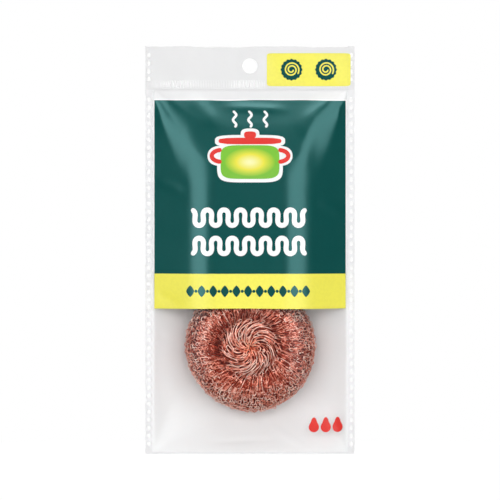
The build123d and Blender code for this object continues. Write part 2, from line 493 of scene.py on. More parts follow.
def both_faces(x, z, layer, surface):
    """Front and back of a layer of ink, the given number of layers above the film."""
    lift = PRINT_LIFT + layer * INK
    return surface(x, z, lift), surface(x, z, lift - 0.8 * INK)


def ink(x, z, layer, surface=on_film):
    """A closed layer of ink over a grid of places."""
    return shell(*both_faces(x, z, layer, surface))


def on_header(x, z, lift):
    """Points in front of the header at places of the pack."""
    lean = header_wave(x, z)
    return np.stack([x, lean - FILM_THICKNESS - RIB_HEIGHT - lift, z], axis=-1)


def panel(x0, x1, z0, z1, columns, rows, layer, bottom=None, top=None):
    """A rectangle of ink. Functions of x move its lower and its upper edge."""
    across, up = np.linspace(x0, x1, columns), np.linspace(0, 1, rows)
    low = z0 + (bottom(across) if bottom else 0 * across)
    high = z1 + (top(across) if top else 0 * across)
    x = np.broadcast_to(across, (rows, columns))
    z = low + (high - low) * up[:, None]
    return ink(x, z, layer)


def star_patch(x, z, radius_at, layer, surface=on_film, turns=96, rings=8):
    """A patch of ink round a centre. Its outline is a radius for each angle, and its rings are
    that outline drawn in to a small middle with a disc across it."""
    turn = np.linspace(0, 2 * np.pi, turns, endpoint=False)
    share = np.concatenate([[0.02], np.linspace(0, 1, rings)[1:]])[:, None]
    px = x + radius_at(turn) * share * np.cos(turn)
    pz = z + radius_at(turn) * share * np.sin(turn)
    upper, lower = both_faces(px, pz, layer, surface)
    points, faces = capped_rings(np.concatenate([upper, lower[::-1]]))
    return points, faces[:, ::-1]


def band(x, z, width, layer, surface=on_film, across=5):
    """A ribbon of ink along a line of places: the line moved sideways both ways by up to half
    its width, square to its own direction. The width dies out as a half circle at both ends."""
    dx, dz = np.gradient(x), np.gradient(z)
    length = np.hypot(dx, dz)
    run = np.cumsum(length) - length[0]
    near = np.clip(np.minimum(run, run[-1] - run) / (width / 2), 0.01, 1)
    half = np.sqrt(1 - (1 - near) ** 2) * width / 2
    side = np.linspace(-1, 1, across)[:, None] * half
    return ink(x - side * dz / length, z + side * dx / length, layer, surface)


def round_box(half_width, half_height, power=6):
    """Outline of a rounded rectangle as a radius for each angle: a superellipse."""

    def radius_at(turn):
        x, z = np.abs(np.cos(turn)) / half_width, np.abs(np.sin(turn)) / half_height
        return (x**power + z**power) ** (-1 / power)

    return radius_at


def drop(size):
    """Outline of a water drop as a radius for each angle: a circle and two powers of the sine
    that draw its top up to a tip."""

    def radius_at(turn):
        up = np.clip(np.sin(turn), 0, 1)
        return size * (0.62 + 0.5 * up**14 + 0.1 * up**3)

    return radius_at


def circle(size):
    """Outline of a circle as a radius for each angle."""
    return lambda turn: size + 0 * turn


def bun(size):
    """Outline of a knitted bun as a radius for each angle: a circle with small scallops."""
    return lambda turn: size * (0.965 + 0.035 * np.cos(16 * turn))


def stitch_line(x0, x1, z, height, loops, width, layer, flip=1):
    """A ribbon in the path of knitted stitches: across by t plus a sine of 2t, and up and down
    by a cosine of t."""
    t = np.linspace(0, 2 * np.pi * loops, 48 * loops)
    pitch = (x1 - x0) / loops
    x = x0 + pitch * (t / (2 * np.pi) + 0.10 * np.sin(2 * t))
    return band(x, z + flip * 0.5 * height * np.cos(t), width, layer)


def spiral(x, z, inner, outer, turns, width, layer, surface):
    """A ribbon whose radius grows evenly with its angle."""
    t = np.linspace(0, 1, int(70 * turns))
    radius, angle = inner + (outer - inner) * t, -2 * np.pi * turns * t
    return band(x + radius * np.cos(angle), z + radius * np.sin(angle), width, layer, surface)


def steam(x, z0, z1, width, layer):
    """A ribbon that rises and sways by a sine."""
    z = np.linspace(z0, z1, 70)
    return band(x + 0.8 * np.sin((z - z0) * 1.2), z, width, layer)


def handle(side, z, width, layer):
    """A ribbon along a pot's loop handle: a half ellipse out from its side."""
    turn = np.linspace(-np.pi / 2, np.pi / 2, 60)
    return band(side * (14.6 + 5.2 * np.cos(turn)), z + 3.1 * np.sin(turn), width, layer)


# Knit: rings of stitches laid over a bun

BUN_SHAPE = (
    (0.0, 11.9), (3.2, 12.5), (6.5, 13.2), (9.6, 13.5), (12.2, 12.8), (13.7, 11.7),
    (14.5, 11.4), (15.4, 12.5), (16.8, 14.0), (18.6, 15.0), (20.6, 15.45),
)
CROWN_RADIUS = 20.0
RIM_REACH = 14.1
RIM_DEPTH = 15.5
CREASE_RADIUS = 14.5
RIM_START = 23.6
FACE_RADIUS = 26.0
FACE_ROOF = -0.15
DENT = 0.03
DENT_ANGLE = math.radians(225)
CORE_DEPTH = 1.75

# Stitches: how far they stray, how often they curl, and how their tone goes with their place:
# painted shade to the sides and painted light in the crease
LEAN = 0.12
LOOSE = 1.4
RIM_STRAY = 0.9
CURL = 0.34
CURLS = 8
END_GAP = 0.25
TONE_WANDER = 0.40
SIDE_SHADE = -0.05
CREASE_LIGHT = 0.10
CREASE_REACH = 1.7

# Even rows from face to face over the rim: spacing, reach, lift, tone and how many stitches fewer;
# the deeper row has the lower tone, as painted shade
RIM_ROWS = {
    "rim_knit": (1.9, 1.6, -0.55, 0.77, 0),
    "rim_under_knit": (2.1, 1.9, -1.15, 0.30, 6),
}

# Rows of drawn-out stitches: inner and outer radius, lift off the face, tone and stitch share; rows
# that lie deeper have a lower tone, as painted shade
CROWN_ROWS = (
    (15.0, 24.6, -0.35, 0.54, 0.95),
    (14.6, 20.4, -0.34, 0.42, 0.85),
    (18.0, 23.4, -0.32, 0.42, 0.95),
    (21.2, 26.4, -0.36, 0.46, 1.2),
    (14.4, 23.4, -0.85, 0.30, 0.8),
    (19.5, 28.0, -0.90, 0.32, 1.0),
    (15.2, 21.5, -1.20, 0.16, 0.8),
    (20.0, 27.0, -1.30, 0.16, 1.0),
    (12.0, 18.4, -0.70, 0.46, 0.6),
)
# Rows of the gather in the same columns; here too the deeper rows have a lower tone, as painted
# shade
GATHER_ROWS = (
    (8.4, 15.4, -0.15, 0.88, 0.36),
    (4.6, 12.6, -0.36, 0.84, 0.32),
    (2.2, 9.2, -0.30, 0.75, 0.26),
    (0.7, 5.2, -0.24, 0.76, 0.20),
    (0.5, 4.4, -0.85, 0.40, 0.20),
    (3.0, 9.4, -0.90, 0.36, 0.26),
    (7.4, 14.6, -0.95, 0.30, 0.34),
)


def through(points, steps):
    """Smooth line through points: on each span a cubic that starts and ends along the line
    between the neighbours of its two points."""
    points = np.array(points, float)
    padded = np.vstack([2 * points[0] - points[1], points, 2 * points[-1] - points[-2]])
    t = np.linspace(0, 1, steps, endpoint=False)[:, None, None]
    a, b, c, d = padded[:-3], padded[1:-2], padded[2:-1], padded[3:]
    line = 0.5 * (
        2 * b + (c - a) * t + (2 * a - 5 * b + 4 * c - d) * t**2 + (3 * b - a - 3 * c + d) * t**3
    )
    return np.vstack([line.transpose(1, 0, 2).reshape(-1, 2), points[-1:]])


def bun_line():
    """Radius and depth of the bun from the front's middle to the back's, with the distance
    run along it: the gathered face and its crease, then an ellipse round the rim."""
    face = through(BUN_SHAPE, 12)
    turn = np.linspace(math.radians(84), 0, 60)
    rim = np.stack([CROWN_RADIUS + RIM_REACH * np.cos(turn), RIM_DEPTH * np.sin(turn)], axis=-1)
    front = np.vstack([face, rim])
    line = np.vstack([front, front[-2::-1] * (1, -1)])
    run = np.concatenate([[0], np.cumsum(np.hypot(*np.diff(line, axis=0).T))])
    return run, line[:, 0], line[:, 1]


RUN, RADIUS, DEPTH = bun_line()
FULL_RUN = RUN[-1]
HALF = len(RUN) // 2 + 1
EVEN_RUN = np.linspace(0, FULL_RUN, 900)
EVEN_RADIUS = np.interp(EVEN_RUN, RUN, RADIUS)
EVEN_DEPTH = np.interp(EVEN_RUN, RUN, DEPTH)
SLOPE_R, SLOPE_D = np.gradient(EVEN_RADIUS), np.gradient(EVEN_DEPTH)
STEEP = np.hypot(SLOPE_R, SLOPE_D)


def run_at(radius):
    """Run from the front's middle out to a radius of the front."""
    return float(np.interp(radius, RADIUS[:HALF], RUN[:HALF]))


CREASE_RUN = run_at(CREASE_RADIUS)


def on_bun(turn, run, lift, swirl):
    """Points of the bun at an angle and a run from the front's middle, lifted off its face,
    and the directions out of it there. A gather turns the angle back by its swirl times a power
    of the radius, so that strands leave its middle straight out and end almost along its edge.
    Past the crease the turn goes on and dies out by an exponential. One side is pressed in a
    little, by a bell of the angle."""
    radius = np.interp(run, EVEN_RUN, EVEN_RADIUS)
    depth = np.interp(run, EVEN_RUN, EVEN_DEPTH)
    beyond = 1 - np.exp(-np.maximum(radius - CREASE_RADIUS, 0) / 5)
    turned = turn - swirl * (np.clip(radius / CREASE_RADIUS, 0, 1) ** 1.7 + 0.12 * beyond)
    dent = DENT * np.exp(4.0 * (np.cos(turned - DENT_ANGLE) - 1))
    radius = radius * (1 - dent * (radius / RADIUS.max()) ** 2)
    out_r = -np.interp(run, EVEN_RUN, SLOPE_D / STEEP)
    out_d = np.interp(run, EVEN_RUN, SLOPE_R / STEEP)
    radius, depth = radius + out_r * lift, depth + out_d * lift
    cos, sin = np.cos(turned), np.sin(turned)
    place = np.stack([radius * cos, -depth, radius * sin], axis=-1)
    out = np.stack([out_r * cos, -out_d, out_r * sin], axis=-1)
    return place, out


def wander(rng, rows, knots, samples):
    """Random values for each ring, level at each knot and eased between, closed round."""
    value = rng.uniform(-1, 1, (rows, knots))
    place = np.arange(samples) * knots / samples
    low = np.floor(place).astype(int)
    ease = smooth_step(place - low)
    return value[:, low % knots] * (1 - ease) + value[:, (low + 1) % knots] * ease


def sideways(place, out):
    """Unit directions across closed lines of points, level with the face under them."""
    side = np.cross(np.roll(place, -1, axis=1) - np.roll(place, 1, axis=1), out)
    return side / np.linalg.norm(side, axis=-1, keepdims=True)


def stitch_rings(rows, count, samples, knit, seed, stray):
    """Closed rings of knitted stitches, one for each row of run, reach, lift and tone.

    A stitch is one turn of t. It goes round the bun by t plus a sine of 2t, so that its ends are
    round and its legs straight, up and down the bun by a cosine of t times its reach, and in and
    out of it by a cosine of 2t. Its reach, place, lift and tone wander. Round the rim a few
    loops stand out, by the fourth power of a random value, and on the faces all stay under the
    film. The tone carries painted shade to the sides, darker than above and below by a cosine of
    twice the angle, and painted light in the crease, a little paler there. The wire is a low ridge
    that rolls a little: two edges half a width to each side of that line, and a crest above it.
    """
    rng = np.random.default_rng(seed)
    run0, reach, lift0, tone0 = (np.array(column, float)[:, None] for column in zip(*rows))
    lines, ring = len(run0), count * samples
    t = np.linspace(0, 2 * np.pi * count, ring, endpoint=False)
    pitch = 2 * np.pi / count
    start = rng.uniform(0, pitch, (lines, 1))
    drift = 0.38 * LOOSE * wander(rng, lines, 2 * count, ring)
    turn = start + (t + drift) / count + LEAN * pitch * np.sin(2 * t)
    turn = turn + 0.14 * LOOSE * pitch * wander(rng, lines, 5 * count, ring)
    stretch = 1 + 0.26 * LOOSE * wander(rng, lines, 2 * count, ring)
    shift = 0.22 * LOOSE * reach * wander(rng, lines, count // 3, ring)
    run = np.clip(run0 + reach * stretch * np.cos(t) + shift, END_GAP, FULL_RUN - END_GAP)
    lift = lift0 + 0.16 * np.cos(2 * t) + 0.22 * LOOSE * wander(rng, lines, 2 * count, ring)
    radius = np.interp(run, EVEN_RUN, EVEN_RADIUS)
    below = 1 - smooth_step((radius - CREASE_RADIUS) / 3)
    beyond = smooth_step((radius - FACE_RADIUS) / 4)
    lift = lift + stray * beyond * wander(rng, lines, 2 * count, ring) ** 4
    lift = np.minimum(lift, FACE_ROOF + 2 * (below + beyond))
    place, out = on_bun(turn, run, lift, knit.swirl)
    curls = wander(rng, 2 * lines, CURLS * count, ring)[..., None]
    place = place + CURL * (curls[:lines] * sideways(place, out) + 0.5 * curls[lines:] * out)
    side = sideways(place, out)
    roll = (0.75 * wander(rng, lines, 3 * count, ring))[..., None]
    across = side * np.cos(roll) + out * np.sin(roll)
    above = out * np.cos(roll) - side * np.sin(roll)
    width, height = knit.wire_width / MM, knit.wire_height / MM
    section = np.stack(
        [place - across * width / 2, place + across * width / 2, place + above * height], axis=2
    )
    inward = np.minimum(run, FULL_RUN - run) - CREASE_RUN
    x, z = place[..., 0], place[..., 2]
    # Tone: the row's own, lower for deeper rows as painted shade, with a random wander; then
    # painted light in the crease and painted shade to the sides
    tone = tone0 + TONE_WANDER * wander(rng, lines, 4 * count, ring)
    tone = tone + CREASE_LIGHT * np.exp(-((inward / CREASE_REACH) ** 2))
    tone = tone + SIDE_SHADE * (x**2 - z**2) / (x**2 + z**2)
    faces = quad_grid(ring, 3, close_rows=True, close_columns=True)[:, ::-1]
    firsts = np.arange(lines) * ring * 3
    faces = (faces[None] + firsts[:, None, None]).reshape(-1, 4)
    return section.reshape(-1, 3), faces, np.repeat(tone, 3)


def drawn_rows(rows, back):
    """Rows of stitches between two radii, as run, reach, lift and tone, on the front or back."""
    made = []
    for inner, outer, lift, tone, share in rows:
        low, high = run_at(inner), run_at(outer)
        middle = (low + high) / 2
        made.append(((FULL_RUN - middle if back else middle, (high - low) / 2, lift, tone), share))
    return made


def rim_rows(spacing, reach, lift, tone):
    """Even rows of stitches from one face over the rim to the other."""
    start = run_at(RIM_START)
    count = int((FULL_RUN - 2 * start) / spacing)
    run = np.linspace(start, FULL_RUN - start, count)
    return [(value, reach, lift, tone) for value in run]


def knit_core():
    """Knit under the outer stitches, painted dark as shade: the bun's own outline turned round,
    drawn in, with ripples round it."""
    turn = np.linspace(0, 2 * np.pi, 160, endpoint=False)
    run = np.linspace(0.05, FULL_RUN - 0.05, 150)[:, None]
    ripple = 0.18 * np.sin(40 * turn + run * 2.2)
    place, _ = on_bun(turn + 0 * run, run + 0 * turn, ripple - CORE_DEPTH, 0)
    points, faces = capped_rings(place)
    return points, faces[:, ::-1]


# Materials


class Graph:
    """Nodes of one material or world."""

    def __init__(self, owner):
        owner.use_nodes = True
        self.nodes, self.links = owner.node_tree.nodes, owner.node_tree.links
        self.nodes.clear()

    def add(self, kind, inputs, **settings):
        """A node with its settings, and with its inputs linked to sockets or set to values."""
        node = self.nodes.new("ShaderNode" + kind)
        for name, value in settings.items():
            setattr(node, name, value)
        self.fill(node, inputs)
        return node

    def fill(self, node, inputs):
        """Link a node's inputs to sockets or set them to values."""
        for name, value in inputs.items():
            if isinstance(value, bpy.types.NodeSocket):
                self.links.new(value, node.inputs[name])
            else:
                node.inputs[name].default_value = value

    def places(self):
        """The object's own coordinates."""
        return self.add("TexCoord", {}).outputs["Object"]

    def noise(self, scale, detail, coords=None):
        """Noise on the object's own coordinates, with a scale per metre."""
        inputs = {"Scale": scale, "Detail": detail, "Vector": coords or self.places()}
        return self.add("TexNoise", inputs).outputs["Fac"]

    def ramp(self, factor, *stops):
        """Colour ramp with stops of place and colour, or of place and grey."""
        node = self.add("ValToRGB", {"Fac": factor})
        elements = node.color_ramp.elements
        for _ in stops[2:]:
            elements.new(1)
        for element, (place, color) in zip(elements, stops):
            element.position = place
            element.color = (*((color,) * 3 if isinstance(color, float) else color), 1)
        return node.outputs["Color"]

    def bump(self, surface, height, strength, distance):
        """Fine relief on a shader's surface."""
        inputs = {"Strength": strength, "Distance": distance, "Height": height}
        self.links.new(self.add("Bump", inputs).outputs["Normal"], surface.inputs["Normal"])


def new_material(name):
    """An empty material with its graph, its main shader and its output."""
    material = bpy.data.materials.new(name)
    graph = Graph(material)
    surface = graph.add("BsdfPrincipled", {})
    output = graph.add("OutputMaterial", {"Surface": surface.outputs[0]})
    return material, graph, surface, output


def copper_wire(name, centre, settings):
    """Drawn wire: metal whose coating follows the wire's tone, with painted shade where it lies
    deep and a painted highlight on top, and is a deeper orange near the middle of each gather."""
    material, graph, surface, _ = new_material(name)
    coords = graph.places()
    tone = graph.add("Attribute", {}, attribute_name="tone").outputs["Fac"]
    patches = graph.noise(800, 2, coords)
    spread = graph.add("Math", {0: patches, 1: 0.75, 2: -0.375}, operation="MULTIPLY_ADD")
    level = graph.add("Math", {0: spread.outputs[0], 1: tone}, operation="ADD")
    # Painted light and shade: the ramp goes from the inner knit's shade colour and the deep wires'
    # shade colour through the wire colour to the painted highlight colour
    painted_light_coat = graph.ramp(
        level.outputs[0], (0.0, settings.shade_color), (0.3, settings.deep_wire_shade_color),
        (0.62, settings.wire_color), (0.95, settings.bright_color),
    )
    place = graph.add("Mapping", {"Vector": coords, "Location": (0, 0, -centre * MM)})
    inputs = {0: place.outputs["Vector"], 1: (1, 0, 1)}
    flat = graph.add("VectorMath", inputs, operation="MULTIPLY")
    reach = graph.add("VectorMath", {0: flat.outputs["Vector"]}, operation="LENGTH")
    inputs = {"From Min": 1.0 * MM, "From Max": 7.5 * MM, "To Min": 0.85, "To Max": 0.0}
    near = graph.add("MapRange", {"Value": reach.outputs["Value"], **inputs})
    inputs = {"Factor": near.outputs["Result"], "A": painted_light_coat, "B": (*settings.heart_color, 1)}
    heart = graph.add("Mix", inputs, data_type="RGBA", blend_type="MULTIPLY")
    rough = graph.ramp(patches, (0.3, 0.46), (0.7, 0.28))
    color = heart.outputs["Result"]
    graph.fill(surface, {"Base Color": color, "Metallic": 1.0, "Roughness": rough})
    graph.bump(surface, graph.noise(5200, 2, coords), 0.25, 0.06 * MM)
    return material


def inner_knit(name, settings):
    """Knit deep in the scrubber, painted dark as shade; the loops of the layers under it are cells.
    """
    material, graph, surface, _ = new_material(name)
    cells = graph.add("TexVoronoi", {"Scale": 620, "Vector": graph.places()}).outputs["Distance"]
    dark = tuple(0.45 * c for c in settings.shade_color)
    color = graph.ramp(cells, (0.1, settings.shade_color), (0.55, dark))
    graph.fill(surface, {"Base Color": color, "Metallic": 0.3, "Roughness": 0.7})
    graph.bump(surface, cells, 0.9, 0.8 * MM)
    return material


def satin_film(name, color, rough=0.33):
    """White film: nearly even, a little cloudy, with a fine crinkle."""
    material, graph, surface, _ = new_material(name)
    cloud = graph.noise(45, 3)
    paler = tuple(min(1.0, 1.04 * c) for c in color)
    tone = graph.ramp(cloud, (0.15, color), (0.85, paler))
    gloss = graph.ramp(cloud, (0.15, rough + 0.07), (0.85, rough - 0.07))
    graph.fill(surface, {"Base Color": tone, "Roughness": gloss})
    graph.bump(surface, graph.noise(110, 3), 0.16, 0.6 * MM)
    return material


def clear_film(name, settings):
    """Clear film: see-through, and a mirror whose strength is the haze where it faces the eye
    and grows by a power towards its edges."""
    material, graph, surface, output = new_material(name)
    graph.fill(surface, {"Base Color": (1, 1, 1, 1), "Metallic": 1.0, "Roughness": 0.36})
    graph.bump(surface, graph.noise(60, 2), 0.15, 0.8 * MM)
    edge = graph.add("LayerWeight", {"Blend": 0.5})
    power = graph.add("Math", {0: edge.outputs["Facing"], 1: 4.0}, operation="POWER")
    inputs = {"Value": power.outputs[0], "To Min": settings.gloss, "To Max": 0.9}
    shine = graph.add("MapRange", inputs).outputs["Result"]
    clear = graph.add("BsdfTransparent", {}).outputs[0]
    mix = graph.add("MixShader", {"Fac": shine, 1: clear, 2: surface.outputs[0]})
    graph.fill(output, {"Surface": mix.outputs[0]})
    return material


def printed(name, color, rough=0.25, glow=None, sheen=(1, 1, 1)):
    """Ink under the film's gloss: an even colour with a faint print grain, and a sheen that the
    ink tints. A glow is a place, a size and two more colours: the ink goes over to them towards
    an oval's middle. The gloss keeps to a narrow range, so that the ink looks even."""
    material, graph, surface, _ = new_material(name)
    coords = graph.places()
    if glow:
        (x, z), (half_width, half_height), middle, heart = glow
        inputs = {
            "Vector": coords, "Location": (x * MM, 0, z * MM),
            "Scale": (half_width * MM, 1, half_height * MM),
        }
        place = graph.add("Mapping", inputs, vector_type="TEXTURE")
        reach = graph.add("VectorMath", {0: place.outputs["Vector"]}, operation="LENGTH")
        tone = graph.ramp(reach.outputs["Value"], (0.0, heart), (0.5, middle), (0.95, color))
    else:
        deeper = tuple(0.97 * c for c in color)
        tone = graph.ramp(graph.noise(700, 2, coords), (0.4, deeper), (0.6, color))
    gloss = graph.ramp(graph.noise(70, 2), (0.2, rough - 0.03), (0.8, rough + 0.02))
    inputs = {"Base Color": tone, "Specular Tint": (*sheen, 1), "Roughness": gloss}
    graph.fill(surface, inputs)
    graph.bump(surface, graph.noise(130, 3), 0.06, 0.5 * MM)
    return material


def dress(piece, material, body=None, replaces=()):
    """Give a piece its material, the body that it rides on and the nodes that it stands for."""
    piece.data.materials.clear()
    piece.data.materials.append(material)
    if body:
        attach(piece, body)
    if replaces:
        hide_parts(*replaces)
    return piece


def keep_node(node, material):
    """A construction node that stays, with a better material."""
    cad = frame["nodes"][node]
    cad.data.materials.clear()
    cad.data.materials.append(material)


# Studio

FLOOR_RADIUS = 750.0
FLOOR_DROP = 40.0
FLOOR_RINGS = 6
FLOOR_TURNS = 96
FLOOR_GLOW = 1.06
FLOOR_GLOW_SHARE = 0.9
WORLD_FILL = 0.15
ROOM_GREY = 0.06
BACKDROP_EDGE = 0.3

# Lamps: name, place from the pack's middle, size, power, and whether they show in dull light
# and in gloss
LAMPS = (
    ("top_light", (0.1, -0.9, 1.3), (1.2, 0.5), 2.2, True, True),
    ("front_fill", (0.0, -1.78, 0.20), (1.2, 1.0), 14.8, True, False),
    ("left_fill", (-1.0, -1.25, 0.2), (1.0, 1.4), 6.0, True, False),
    ("right_fill", (1.0, -1.25, 0.2), (1.0, 1.4), 6.0, True, False),
    ("left_back_fill", (-1.0, 1.25, 0.5), (1.0, 1.4), 11.0, True, False),
    ("right_back_fill", (1.0, 1.25, 0.5), (1.0, 1.4), 11.0, True, False),
    ("left_strip", (-0.94, -1.0, 0.35), (0.76, 1.9), 23.2, False, True),
    ("right_strip", (0.82, -1.18, 0.35), (0.96, 1.9), 26.0, False, True),
    ("top_strip", (0.0, -0.75, 1.40), (1.4, 0.2), 11.0, False, True),
)


def any_ray(graph, path):
    """1 for rays that show the backdrop: the camera's own, in gloss and through glass."""
    seen = path.outputs["Is Camera Ray"]
    for kind in ("Is Glossy Ray", "Is Transmission Ray"):
        inputs = {0: seen, 1: path.outputs[kind]}
        seen = graph.add("Math", inputs, operation="MAXIMUM").outputs[0]
    return seen


def aim_at(thing, place, target):
    """Put a lamp or camera at a place, turned to look at a target."""
    thing.location = Vector(place)
    thing.rotation_mode = "QUATERNION"
    thing.rotation_quaternion = (Vector(target) - Vector(place)).to_track_quat("-Z", "Y")


# Operators


class SCRUBBERS_OT_header(bpy.types.Operator):
    """Make the header's films, its crimped seal and the film across the crease"""

    bl_idname = "scrubbers.header"
    bl_label = "Header"

    def execute(self, context):
        film = context.scene.scrubber_film
        white = satin_film("header_film", film.white_color)
        weld = satin_film("header_weld_film", film.white_color)
        for face, facing in (("front", -1), ("back", 1)):
            sheet = header_sheet(f"header_{face}_sheet", facing)
            dress(sheet, white, "header", [f"header_{face}_film"])
        dress(crimped_seal(), white, "header", ["crimp_seal"])
        for side in ("left", "right"):
            keep_node(f"{side}_header_weld", weld)
        strip = dress(crease_strip(), white)
        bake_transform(strip)
        return {"FINISHED"}


class SCRUBBERS_OT_pouch(bpy.types.Operator):
    """Make the clear front and white back of the pouch and finish its welds"""

    bl_idname = "scrubbers.pouch"
    bl_label = "Pouch"

    def execute(self, context):
        film = context.scene.scrubber_film
        front = film_wall("pouch_clear_front", FRONT_FOLDS, -1)
        dress(front, clear_film("clear_film", film), "pouch", ["pouch_front_film"])
        back = film_wall("pouch_white_back", BACK_FOLDS, 1)
        # The backing's paler white is painted light against the shade inside the pouch
        backing = satin_film("pouch_backing_film", film.lit_backing_color, 0.6)
        dress(back, backing, "pouch", ["pouch_back_film"])
        weld = satin_film("pouch_weld_film", film.weld_color)
        for node in ("left_pouch_weld", "right_pouch_weld", "bottom_fold"):
            keep_node(node, weld)
        return {"FINISHED"}


class SCRUBBERS_OT_prints(bpy.types.Operator):
    """Lay the printed panel, band, badge and figures over the film"""

    bl_idname = "scrubbers.prints"
    bl_label = "Prints"
    pot_middle = -50.6

    def execute(self, context):
        inks = context.scene.scrubber_print
        film = context.scene.scrubber_film
        satin = satin_film("hem_film", film.white_color)
        green = printed("green_ink", inks.green, sheen=(0.42, 0.86, 0.88))
        yellow = printed("yellow_ink", inks.yellow, rough=0.45)
        white = printed("white_ink", inks.white)
        oval = ((0, self.pot_middle), (14.0, 8.0), inks.yellow, (1.0, 0.98, 0.55))
        lime = printed("lime_ink", inks.lime, glow=oval)
        red = printed("red_ink", inks.red)

        left, right = GREEN_LOW[0], GREEN_HIGH[0]
        border = 0.6
        top_wave = lambda x: 0.12 * np.sin(x / 9) + 0.1 * np.sin(x / 4.3 + 1)
        foot_wave = lambda x: 0.15 * np.sin(x / 12 + 2)
        backing = panel(
            left - border, right + border, GREEN_LOW[2], GREEN_HIGH[2] + border, 150, 130, 0,
            top=top_wave,
        )
        dress(make_piece("panel_border", *backing), white, "pouch")
        hem = panel(
            1 - HALF_WIDTH, HALF_WIDTH - 1, GREEN_HIGH[2] + border, POUCH_TOP - 0.15, 150, 12, 0,
            bottom=top_wave,
        )
        dress(make_piece("white_hem", *hem), satin, "pouch")
        field = panel(left, right, GREEN_LOW[2], GREEN_HIGH[2], 150, 130, 1, top=top_wave)
        dress(make_piece("green_field", *field), green, "pouch", ["green_panel"])
        strip = panel(left, right, YELLOW_LOW[2], YELLOW_HIGH[2], 150, 40, 1, bottom=foot_wave)
        dress(make_piece("yellow_strip", *strip), yellow, "pouch", ["yellow_band"])
        self.pot_figure(white, lime, red)
        self.headline_figures(white)
        drops = [star_patch(x, -188.2, drop(4.3), 2) for x in (33.2, 39.4, 45.6)]
        dress(make_piece("red_drops", *join(drops)), red, "pouch")
        middle = (YELLOW_LOW[2] + YELLOW_HIGH[2]) / 2
        places = np.linspace(-31.0, 29.0, 11)
        beads = [star_patch(x, middle, round_box(2.1, 3.0, 1.3), 2, rings=5) for x in places]
        beads += [star_patch(x, middle, circle(0.8), 2, rings=3, turns=32) for x in places[:-1] + 3]
        dress(make_piece("band_pattern", *join(beads)), green, "pouch")
        self.badge_figures(yellow, green)
        return {"FINISHED"}

    def pot_figure(self, white, lime, red):
        """A cooking pot with a white halo, in the middle of the panel's upper half."""
        body, lid, knob = self.pot_middle, -39.6, -36.4
        halo = [
            star_patch(0, body, round_box(17.0, 10.6, 5), 2),
            star_patch(0, lid, round_box(18.2, 3.2, 4), 2.2),
            star_patch(0, knob, round_box(4.9, 3.4, 3), 2.4),
            star_patch(-15.6, body + 3.2, round_box(6.4, 5.2, 2.2), 2.6),
            star_patch(15.6, body + 3.2, round_box(6.4, 5.2, 2.2), 2.6),
        ]
        halo += [steam(x, -32.4, -23.6, 1.3, 2) for x in (-8.0, 0.0, 8.0)]
        dress(make_piece("pot_halo", *join(halo)), white, "pouch")
        pot = star_patch(0, body, round_box(15.2, 8.8, 5), 4)
        dress(make_piece("pot_body", *pot), lime, "pouch")
        trim = [
            star_patch(0, lid, round_box(16.4, 1.7, 4), 4),
            star_patch(0, knob, round_box(3.1, 1.8, 3), 4.4),
            handle(-1, body + 3.2, 2.2, 4.8),
            handle(1, body + 3.2, 2.2, 4.8),
        ]
        dress(make_piece("pot_lid", *join(trim)), red, "pouch")

    def headline_figures(self, white):
        """Two lines of bold white stitches."""
        lines = [
            stitch_line(-30.6, 29.4, -79.4, 8.0, 7, 2.6, 2, flip=1),
            stitch_line(-30.6, 29.4, -94.0, 8.0, 7, 2.6, 2, flip=-1),
        ]
        dress(make_piece("stitch_lines", *join(lines)), white, "pouch")

    def badge_figures(self, yellow, green):
        """The badge and two small scrubbers on it."""
        middle = (BADGE_LOW + BADGE_HIGH) / 2
        half = (BADGE_HIGH - BADGE_LOW) / 2
        plate = star_patch(
            middle[0], middle[2], round_box(half[0], half[2], 22), 0, on_header, 240, 12
        )
        dress(make_piece("badge_field", *plate), yellow, "header", ["header_badge"])
        places = (middle[0] - 9.0, middle[0] + 9.0)
        buns = [star_patch(x, middle[2], bun(5.7), 1, on_header, 192) for x in places]
        dress(make_piece("badge_buns", *join(buns)), green, "header")
        swirls = [spiral(x, middle[2], 0.9, 4.0, 2.1, 0.75, 2, on_header) for x in places]
        dress(make_piece("badge_swirls", *join(swirls)), yellow, "header")


